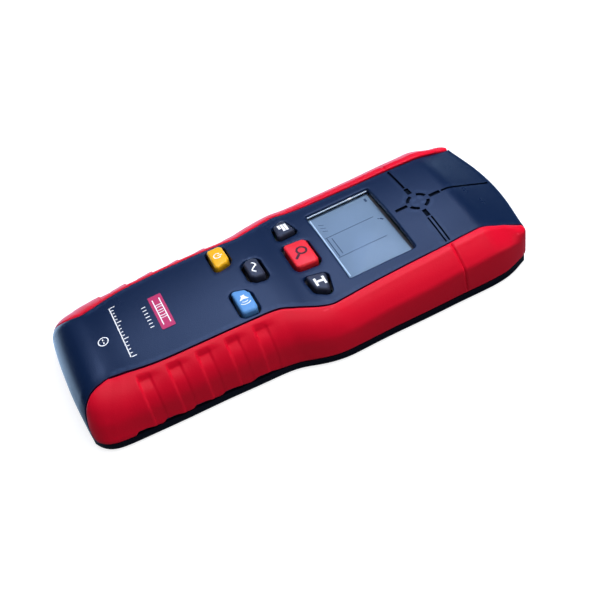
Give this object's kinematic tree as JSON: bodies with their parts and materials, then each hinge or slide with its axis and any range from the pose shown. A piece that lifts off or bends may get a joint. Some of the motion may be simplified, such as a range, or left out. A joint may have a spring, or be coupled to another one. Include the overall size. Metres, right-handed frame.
{
  "type": "stud finder",
  "caption": "Hand-held wall scanner with a display, rubber keys, soft side grips, a wide sensing head and a hinged battery door.",
  "frame": {"origin": "bottom centre of the whole object: z = 0 is the plane of the four glide strips on the rear face, x = y = 0 the middle of its length and width", "axes": "+X to the right seen from the display side with the head up, +Y from the handle to the sensing head, +Z out of the display face"},
  "size_m": [0.0842, 0.2, 0.0272],
  "materials": {
    "cover_black": "fine textured navy-black moulding",
    "grip_red": "satin red soft overmould",
    "window_clear": "clear polished",
    "frame_grey": "satin",
    "lcd_grey": "blue-grey display",
    "diffuser_white": "milky",
    "silicone_grey": "matt silicone",
    "gold_plate": "gold plated",
    "board_green": "solder mask",
    "chip_black": "moulded",
    "can_steel": "drawn can",
    "copper_wire": "enamelled winding",
    "battery_grey": "printed jacket",
    "lead_red": "insulation",
    "lead_black": "insulation",
    "foam_grey": "foam",
    "screw_steel": "zinc",
    "felt_grey": "felt",
    "label_silver": "blank film label",
    "badge_red": "printed badge",
    "key_yellow": "satin silicone key",
    "key_dark": "satin silicone key",
    "key_red": "satin silicone key",
    "key_blue": "satin silicone key",
    "carbon_black": "carbon pill"
  },
  "bodies": {
    "housing": {"front_cover": "cover_black", "rear_cover": "cover_black", "right_grip": "grip_red", "left_grip": "grip_red", "display_window": "window_clear", "lcd_frame": "frame_grey", "lcd_glass": "lcd_grey", "lcd_backlight": "diffuser_white", "zebra_strip": "silicone_grey", "key_mat": "silicone_grey", "key_contacts": "gold_plate", "main_board": "board_green", "mcu_chip": "chip_black", "crystal": "can_steel", "chip_passives": "chip_black", "filter_capacitor": "can_steel", "buzzer": "chip_black", "board_header": "chip_black", "sensor_board": "board_green", "sensor_chip": "chip_black", "sensor_electrodes": "gold_plate", "coil_former": "frame_grey", "detection_coil": "copper_wire", "battery": "battery_grey", "battery_terminals": "can_steel", "battery_snap": "chip_black", "battery_lead_red": "lead_red", "battery_lead_black": "lead_black", "battery_foam": "foam_grey", "case_screws": "screw_steel", "board_screws": "screw_steel", "glide_strips": "felt_grey", "rear_label": "label_silver", "badge_label": "badge_red"},
    "power_key_body": {"power_key": "key_yellow", "power_pill": "carbon_black"},
    "ac_key_body": {"ac_key": "key_dark", "ac_pill": "carbon_black"},
    "zoom_key_body": {"zoom_key": "key_red", "zoom_pill": "carbon_black"},
    "sound_key_body": {"sound_key": "key_blue", "sound_pill": "carbon_black"},
    "metal_key_body": {"metal_key": "key_dark", "metal_pill": "carbon_black"},
    "wood_key_body": {"wood_key": "key_dark", "wood_pill": "carbon_black"},
    "door": {"battery_door": "cover_black"}
  },
  "joints": [
    {"name": "power_key_press", "type": "slide", "parent": "housing", "child": "power_key_body", "axis": [0, 0, -1], "range_m": [0, 0.0008], "stiffness_N_per_m": 900},
    {"name": "ac_key_press", "type": "slide", "parent": "housing", "child": "ac_key_body", "axis": [0, 0, -1], "range_m": [0, 0.0008], "stiffness_N_per_m": 900},
    {"name": "zoom_key_press", "type": "slide", "parent": "housing", "child": "zoom_key_body", "axis": [0, 0, -1], "range_m": [0, 0.0008], "stiffness_N_per_m": 900},
    {"name": "sound_key_press", "type": "slide", "parent": "housing", "child": "sound_key_body", "axis": [0, 0, -1], "range_m": [0, 0.0008], "stiffness_N_per_m": 900},
    {"name": "metal_key_press", "type": "slide", "parent": "housing", "child": "metal_key_body", "axis": [0, 0, -1], "range_m": [0, 0.0008], "stiffness_N_per_m": 900},
    {"name": "wood_key_press", "type": "slide", "parent": "housing", "child": "wood_key_body", "axis": [0, 0, -1], "range_m": [0, 0.0008], "stiffness_N_per_m": 900},
    {"name": "door_hinge", "type": "hinge", "parent": "housing", "child": "door", "pos_m": [0, -0.036, 0.002], "axis": [1, 0, 0], "range_deg": [0, 75]}
  ]
}
